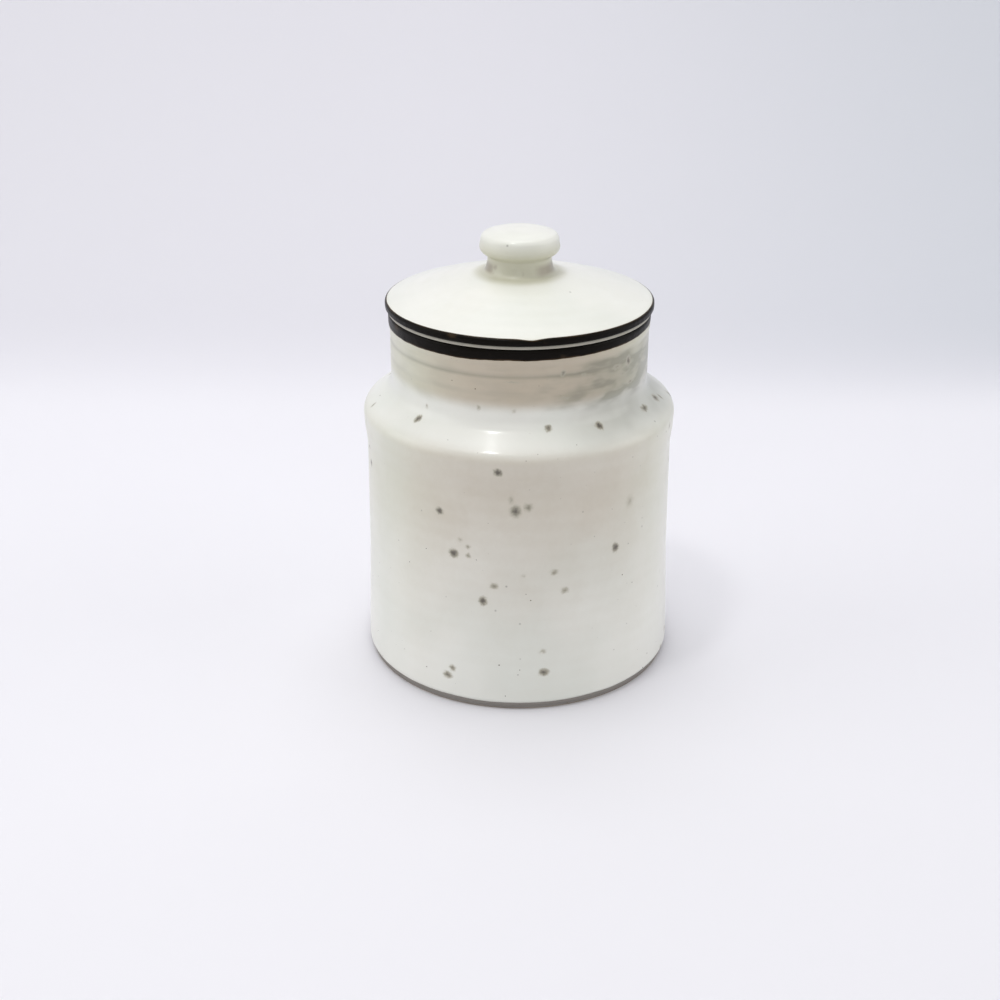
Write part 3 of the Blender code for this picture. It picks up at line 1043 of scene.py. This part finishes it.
hollowFrom = next(i for i, p in enumerate(lidOutline) if p.y < plugBottom + 0.3 and p.x < hollow + 1.2)

lidSkin, lidSkinNormals = lidOutline[12:glazedTo], lidNormals[12:glazedTo]
lidSkinFrom = list(range(len(lidSkin))) + list(range(len(lidSkin) - 2, 0, -1))


def lidThinAndShade(p):
    # round the knob's foot: glaze gathered there, and painted contact shade
    knobFootPoolAndShade = 0.62 * (1 - smooth(p.x, 15.0, 19.5))
    return 0.22 * smooth(p.x, lidRadius - 2.2, lidRadius - 0.4) + 0.04 + knobFootPoolAndShade


lidSkinLine = shellOf(lidSkin, lidSkinNormals, lid["skinDepth"])
turnPiece(
    "lid_glaze", lidSkinLine, plainGlaze, "lid", "cream_glaze", closed=True,
    traits={
        "outward": [lidSkinNormals[i] for i in lidSkinFrom],
        "give": [lid["wobble"] * between(lidSkin[i].x, 14, 24, 46, 50.5) for i in lidSkinFrom],
        "rings": [lid["rings"] * between(lidSkin[i].x, 16, 22, 44, 49) for i in lidSkinFrom],
        "thin": [lidThinAndShade(lidSkin[i]) for i in lidSkinFrom],
    },
    Segments=lid["segments"], Ring_pitch=1.9 * mm, Seed=14.0,
)
hollowLine, hollowNormals = lidOutline[hollowFrom:], lidNormals[hollowFrom:]
hollowBack = [p - n * lid["skinDepth"] for p, n in list(zip(hollowLine, hollowNormals))[::-1]]
hollowBack[0].x = 0.0
turnPiece(
    "lid_hollow_glaze", hollowLine[::-1] + hollowBack[::-1], plainGlaze, "lid", "cream_glaze",
    traits={"thin": [0.12] * (len(hollowLine) * 2)}, Segments=144, Seed=17.0,
)


def lidInset(i):
    glazed = i < glazedTo or i > hollowFrom
    return lid["glaze"] if glazed else 0.0


lidClayLine = [p - n * lidInset(i) for i, (p, n) in enumerate(zip(lidOutline, lidNormals))]
lidClayLine[0].x = lidClayLine[-1].x = 0.0
lidClay = turnPiece("lid_clay", lidClayLine, bareClay, "lid", "bare_clay", Segments=144, Seed=14.0)
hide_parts("lid")

lidBand = {
    "topEdge": 0.05, "lap": 0.27, "thickness": 0.09, "waver": 0.26,
    "notch": 0.85, "notchAt": 5, "notchWidth": 4.5,     # a gap the brush left, in degrees from the front
}
lidBandLine = edgeLine[::-1] + topLine[-2:-12:-1]
lidBandLine = [p for p in lidBandLine if p.x > 40]
lidBandLengths = lengthsAlong(lidBandLine)
underAt = next(s for s, p in zip(lidBandLengths, lidBandLine) if p.x > lidRadius - 1.6)
topAt = next(s for s, p in zip(lidBandLengths, lidBandLine) if p.y > lidTopEdge - 0.35)
brushBand(
    "lid_rim_band", lidBandLine, rimGlaze, "lid",
    Segments=320, Rows=18, Start=underAt * mm, End=(topAt + lidBand["topEdge"]) * mm,
    Thickness=lidBand["thickness"] * mm, Depth=bandDepth * mm,
    Waver=lidBand["waver"] * mm, Lean=lidBand["lap"] * mm,
    Notch=lidBand["notch"] * mm, Notch_angle=radians(lidBand["notchAt"]),
    Notch_width=radians(lidBand["notchWidth"]), Seed=8.0,
)
print("lid thrown, glazed and banded")

knob = {"cap": 15.5, "capHeight": 10.3, "waist": 12.2, "footSpread": 16.4, "sink": 1.0, "slipFillet": 2.6}
crown = knobHigh.z / mm
capUnder = crown - knob["capHeight"]
knobCorners = [
    (0.0, crown),
    (knob["cap"] * 0.55, crown - 0.4, 20.0),
    (knob["cap"] - 1.0, crown - 2.2, 2.6),
    (knob["cap"], capUnder + 2.2, 2.8),
    (knob["waist"], capUnder, 1.2),
    (knob["waist"], capUnder - 2.0, 3.0),
    (knob["waist"] + 0.8, knobSeat + 0.1, knob["slipFillet"]),
    (knob["footSpread"], lidTop(knob["footSpread"]) - 0.06),
    (knob["footSpread"], lidTop(knob["footSpread"]) - knob["sink"]),
    (0.0, lidTop(knob["footSpread"]) - knob["sink"]),
]
knobLine = outlineOf(knobCorners, 0.7, turnStep=7)


def knobThinAndShade(p):
    # painted shade under the cap and down the waist, over a slight thinness everywhere
    side = 1 - smooth(p.y, capUnder + 1.5, capUnder + 9)
    return 0.05 + 0.68 * side * smooth(p.y, knobSeat - 3, knobSeat - 1)


knobPiece = turnPiece(
    "turned_knob", knobLine, plainGlaze, "lid", "cream_glaze",
    traits={
        "give": [0.07 * smooth(p.y, knobSeat + 1, knobSeat + 4) * smooth(p.x, 0.5, 7) for p in knobLine],
        "rings": [0.02 * smooth(p.x, 3, 8) * smooth(p.y, capUnder + 3, crown - 1.2) for p in knobLine],
        "thin": [knobThinAndShade(p) for p in knobLine],
    },
    Segments=160, Ring_pitch=1.4 * mm, Seed=27.0,
)
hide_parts("knob")

seal = {"wall": 1.3, "lip": 1.2, "finWidth": 0.9, "fin": 1.0, "fins": 2}


def sealCorners():
    inner = lid["plug"] + 0.2
    sleeve = inner + seal["wall"]
    top, bottom, lipRadius = sealHigh.z / mm, sealLow.z / mm, sealHigh.x / mm
    lipFoot = top - seal["lip"]
    middle = (top + lipFoot) / 2
    corners = [
        (inner, top, 0.2),
        (lipRadius - 0.1, top, 0.4),
        (lipRadius - 0.05, middle + 0.1, 0.05),
        (lipRadius, middle, 0.05),                 # the mould's parting line
        (lipRadius - 0.05, middle - 0.1, 0.05),
        (lipRadius - 0.1, lipFoot, 0.4),
        (sleeve, lipFoot, 0.4),
    ]
    pitch = (lipFoot - bottom) / (seal["fins"] + 0.5)
    for n in range(seal["fins"]):
        finTop = lipFoot - (n + 1) * pitch + seal["fin"]
        corners += [
            (sleeve, finTop, 0.2),
            (sleeve + seal["finWidth"], finTop - seal["fin"] * 0.25, 0.2),
            (sleeve + seal["finWidth"], finTop - seal["fin"] * 0.75, 0.2),
            (sleeve, finTop - seal["fin"], 0.2),
        ]
    return corners + [(sleeve, bottom, 0.3), (inner, bottom, 0.2)]


sealLine = outlineOf(sealCorners(), 0.9, turnStep=22, closed=True)
sealPiece = turnPiece("soft_seal", sealLine, silicone, "seal", "seal_silicone", closed=True, Segments=192)
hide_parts("seal_ring")
print("knob and seal on")


# metres, and the paper's colours; the wall colours are painted shade, darker up the wall and to the right
stage = {
    "depth": 0.30, "sweep": 0.34, "wide": 3.2, "front": 2.2, "tall": 2.0,
    "colour": (0.865, 0.857, 0.897), "wall": (0.745, 0.738, 0.785), "wallRightShade": (0.65, 0.668, 0.715),
}


def makeStage():
    depth, sweep, steps = stage["depth"], stage["sweep"], 24
    profile = [(-stage["front"], 0.0), (depth, 0.0)]
    for i in range(1, steps + 1):
        turn = radians(90 * i / steps)
        profile.append((depth + sweep * sin(turn), sweep * (1 - cos(turn))))
    profile.append((depth + sweep, stage["tall"]))
    half = stage["wide"] / 2
    points = [(x, y, z) for y, z in profile for x in (-half, half)]
    faces = [(2 * i, 2 * i + 1, 2 * i + 3, 2 * i + 2) for i in range(len(profile) - 1)]
    mesh = bpy.data.meshes.new("paper_sweep")
    mesh.from_pydata(points, [], faces)
    mesh.shade_smooth()
    paperSweep = bpy.data.objects.new("paper_sweep", mesh)
    bpy.context.scene.collection.objects.link(paperSweep)
    material, w, shader, place = newMaterial("whitePaper", 0.7)
    fibre = w.noise(place, 9.0, 3.0)
    pale = tuple(c * 0.985 for c in stage["colour"])
    paper = w.mix(fibre, stage["colour"], pale)
    x, y, z = w.split(place)
    # painted shade: the paper darkens up the wall, and further to the right
    upTheWallShade = w.ease(y, 0.24, 0.40)
    paper = w.mix(upTheWallShade, paper, stage["wall"])
    paper = w.mix(w.mul(upTheWallShade, w.ease(x, -0.1, 0.45)), paper, stage["wallRightShade"])
    w.plug(shader.inputs["Base Color"], paper)
    shader.inputs["Specular IOR Level"].default_value = 0.1
    # only its upper side shows, and it is open under the pot, so the foot can be looked at from below
    clear = w.put("ShaderNodeBsdfTransparent").outputs[0]
    side = w.put("ShaderNodeNewGeometry").outputs["Backfacing"]
    fromMiddle = w.girthOf(x, y)
    underPot = w.calc("LESS_THAN", fromMiddle, (jar["foot"] - 0.9) * mm)
    hidden = w.calc("MAXIMUM", side, underPot)
    oneSided = w.put("ShaderNodeMixShader", {0: hidden, 1: shader.outputs[0], 2: clear})
    output = material.node_tree.nodes["Material Output"]
    w.plug(output.inputs["Surface"], oneSided.outputs[0])
    mesh.materials.append(material)


makeStage()


def areaLight(name, place, size, watts, aim=(0.0, 0.0, 0.08)):
    lamp = bpy.data.lights.new(name, "AREA")
    lamp.shape = "SQUARE"
    lamp.size, lamp.energy = size, watts
    holder = bpy.data.objects.new(name, lamp)
    holder.location = place
    holder.rotation_euler = (Vector(aim) - Vector(place)).to_track_quat("-Z", "Y").to_euler()
    bpy.context.scene.collection.objects.link(holder)
    return holder


lights = {   # place and size in metres, and watts
    "left_softbox": ((-1.2, -0.1, 0.6), 1.0, 3.4),
    "right_softbox": ((1.2, -0.1, 0.6), 1.0, 3.2),
    "front_softbox": ((0.0, -1.2, 0.8), 1.0, 1.4),
    "back_softbox": ((0.0, 0.28, 1.2), 0.6, 2.2),
    "ceiling_panel": ((-0.2, 0.1, 1.15), 1.1, 2.45),
    "ceiling_lamp": ((-0.2, -0.22, 0.95), 0.09, 0.95),
}
for name, (place, size, watts) in lights.items():
    areaLight(name, place, size, watts)

world = bpy.data.worlds.new("studio")
bpy.context.scene.world = world
world.use_nodes = True
air = world.node_tree.nodes["Background"]
air.inputs["Color"].default_value = (1.0, 1.0, 1.0, 1.0)
airWires = Wiring(world.node_tree)
seen = airWires.put("ShaderNodeLightPath").outputs["Is Camera Ray"]
# the room seen past the paper is as pale as the paper
airWires.plug(air.inputs["Strength"], airWires.mulAdd(seen, 0.26, 0.5))
bpy.context.scene.view_settings.view_transform = "Standard"

camera = {
    "lens": 54.0, "back": 0.5513, "height": 0.3171, "across": -0.0004,
    "tiltDown": 24.95, "turn": -0.73,
}


def makeCamera():
    lens = bpy.data.cameras.new("camera")
    lens.lens, lens.sensor_width = camera["lens"], 36.0
    eye = bpy.data.objects.new("camera", lens)
    eye.location = (camera["across"], -camera["back"], camera["height"])
    tilt, turn = radians(camera["tiltDown"]), radians(camera["turn"])
    look = Vector((sin(turn) * cos(tilt), cos(turn) * cos(tilt), -sin(tilt)))
    eye.rotation_euler = look.to_track_quat("-Z", "Y").to_euler()
    bpy.context.scene.collection.objects.link(eye)
    bpy.context.scene.camera = eye


makeCamera()
print("stage and camera ready")
